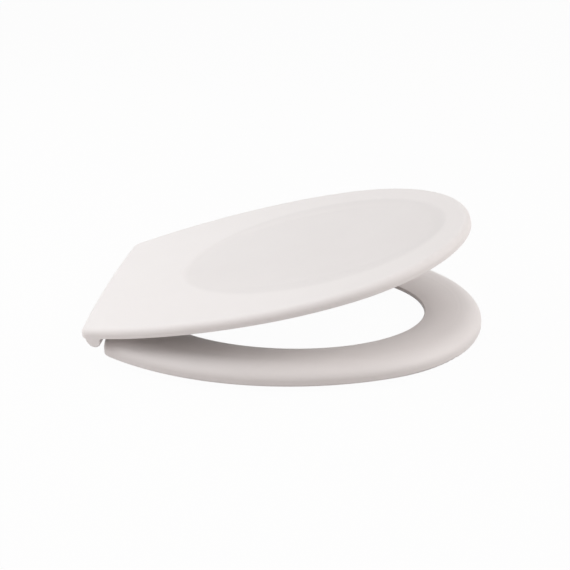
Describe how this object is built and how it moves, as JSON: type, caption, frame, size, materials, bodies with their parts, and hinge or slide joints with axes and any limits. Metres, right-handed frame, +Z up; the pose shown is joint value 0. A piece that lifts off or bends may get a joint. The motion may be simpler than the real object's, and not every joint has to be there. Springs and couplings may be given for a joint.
{
  "type": "toilet seat",
  "caption": "Oval toilet seat with an open-shell ring and a dished lid that turn on one rear hinge axis, standing on bolted hinge brackets.",
  "frame": {"origin": "midway between the two fixing bolts, on the pan's top face", "axes": "X across the seat, front of the seat at -Y, +Z up from the pan"},
  "size_m": [0.37, 0.4376, 0.1362],
  "materials": {
    "shell": "white moulded plastic, soft gloss",
    "bracket": "satin",
    "pin": "ground",
    "insert": "turned",
    "gasket": "matt",
    "bush": "matt",
    "buffer": "matt"
  },
  "bodies": {
    "hinges": {"hinge_bracket_left": "bracket", "hinge_bracket_right": "bracket", "fixing_insert_left": "insert", "fixing_insert_right": "insert", "base_gasket_left": "gasket", "base_gasket_right": "gasket", "bracket_bush_left": "bush", "bracket_bush_right": "bush"},
    "ring": {"seat_ring": "shell", "ring_bush_left": "bush", "ring_bush_right": "bush", "ring_buffer_front_left": "buffer", "ring_buffer_front_right": "buffer", "ring_buffer_rear_left": "buffer", "ring_buffer_rear_right": "buffer"},
    "lid": {"lid": "shell", "hinge_pin_left": "pin", "hinge_pin_right": "pin", "pin_clip_left": "pin", "pin_clip_right": "pin", "lid_buffer_front_left": "buffer", "lid_buffer_front_right": "buffer", "lid_buffer_rear_left": "buffer", "lid_buffer_rear_right": "buffer"}
  },
  "joints": [
    {"name": "ring_hinge", "type": "hinge", "parent": "hinges", "child": "ring", "pos_m": [0, 0.0275, 0.022], "axis": [-1, 0, 0], "range_deg": [0, 95]},
    {"name": "lid_hinge", "type": "hinge", "parent": "ring", "child": "lid", "pos_m": [0, 0.0275, 0.022], "axis": [-1, 0, 0], "range_deg": [-13.6, 81.4]}
  ]
}
